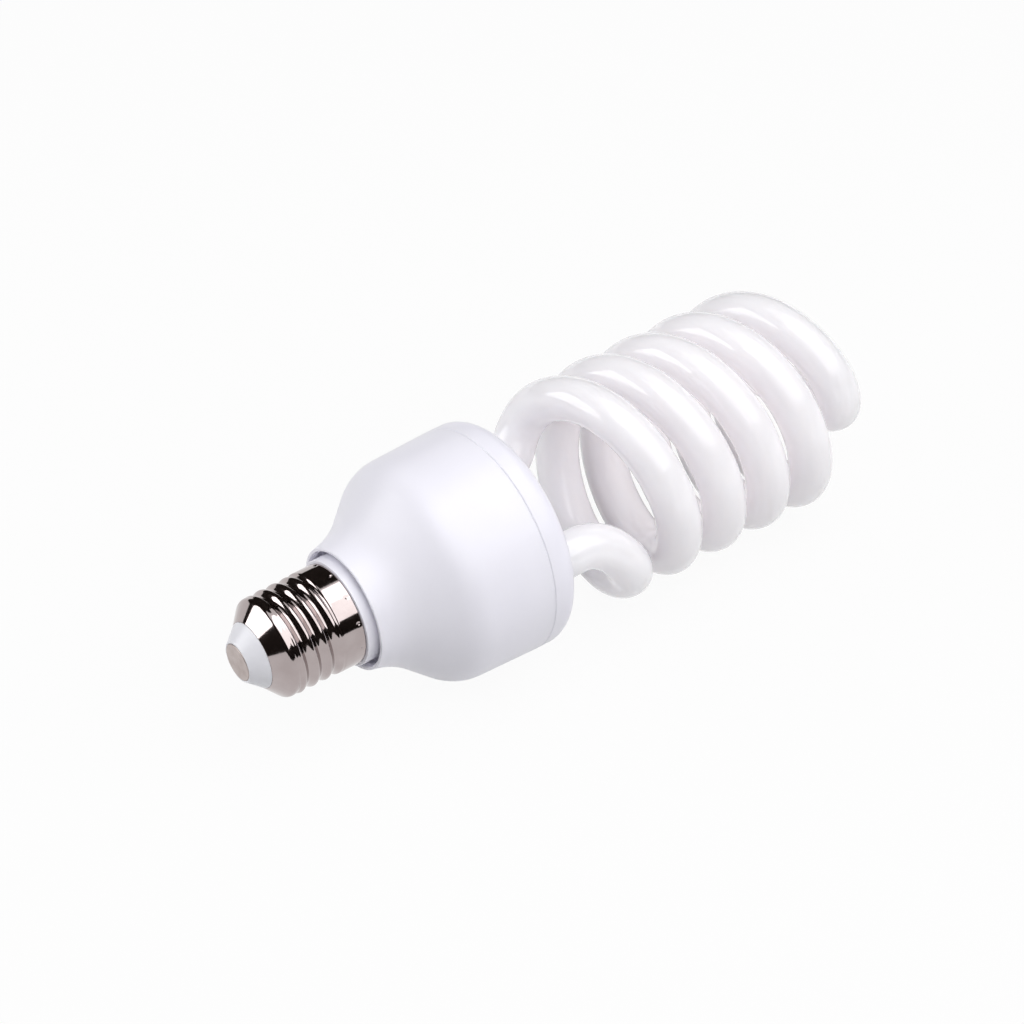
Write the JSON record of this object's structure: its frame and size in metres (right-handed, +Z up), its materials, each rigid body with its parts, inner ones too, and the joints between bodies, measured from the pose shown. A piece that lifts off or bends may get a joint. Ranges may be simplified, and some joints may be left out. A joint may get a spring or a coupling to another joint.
{
  "type": "photo studio bulb",
  "caption": "Spiral compact fluorescent studio bulb: white coiled glass tube on a flared ballast housing with a nickel-plated Edison screw cap.",
  "frame": {"origin": "on the floor under the middle of the lamp's box, the lamp lying on its side", "axes": "+X along the lamp's axis from the cap's tip to the coil's end, +Z up, the two legs near +Y and -Y"},
  "size_m": [0.1784, 0.06, 0.06],
  "materials": {
    "nickel_shell": "bright nickel plate on drawn brass sheet",
    "contact_metal": "satin, nickel-plated nail head",
    "cap_insulation": "white moulded insulator, satin",
    "housing_plastic": "white moulded plastic, satin",
    "tube_glass": "clear glass with a white coating inside, glossy",
    "cement": "dry off-white cement",
    "board": "brown paper laminate",
    "ferrite": "dark grey sintered ferrite",
    "bobbin_plastic": "black moulded plastic",
    "copper_winding": "enamelled copper wire",
    "can_sleeve": "dark blue shrink sleeve",
    "dipped_film": "red-brown dipped coating",
    "black_epoxy": "moulded black epoxy",
    "resistor_coat": "beige lacquer",
    "tinned_wire": "tinned copper",
    "lead_sleeve": "wire with a pale sleeve"
  },
  "bodies": {
    "root": {"centre_contact": "contact_metal", "cap_insulator": "cap_insulation", "screw_shell": "nickel_shell", "base_housing": "housing_plastic", "tube_cover": "housing_plastic", "tube_cement": "cement", "spiral_tube": "tube_glass", "circuit_board": "board", "choke_core": "ferrite", "choke_bobbin": "bobbin_plastic", "choke_winding": "copper_winding", "bulk_capacitor": "can_sleeve", "drive_toroid": "ferrite", "resonant_capacitor": "dipped_film", "coupling_capacitor": "dipped_film", "line_inductor": "ferrite", "rectifier_diodes": "black_epoxy", "bias_resistors": "resistor_coat", "fuse_resistor": "resistor_coat", "diac": "black_epoxy", "thermistor": "resistor_coat", "board_pins": "tinned_wire", "filament_leads": "tinned_wire", "contact_lead": "lead_sleeve", "shell_lead": "lead_sleeve", "transistor_upper": "black_epoxy", "transistor_lower": "black_epoxy"}
  },
  "joints": []
}
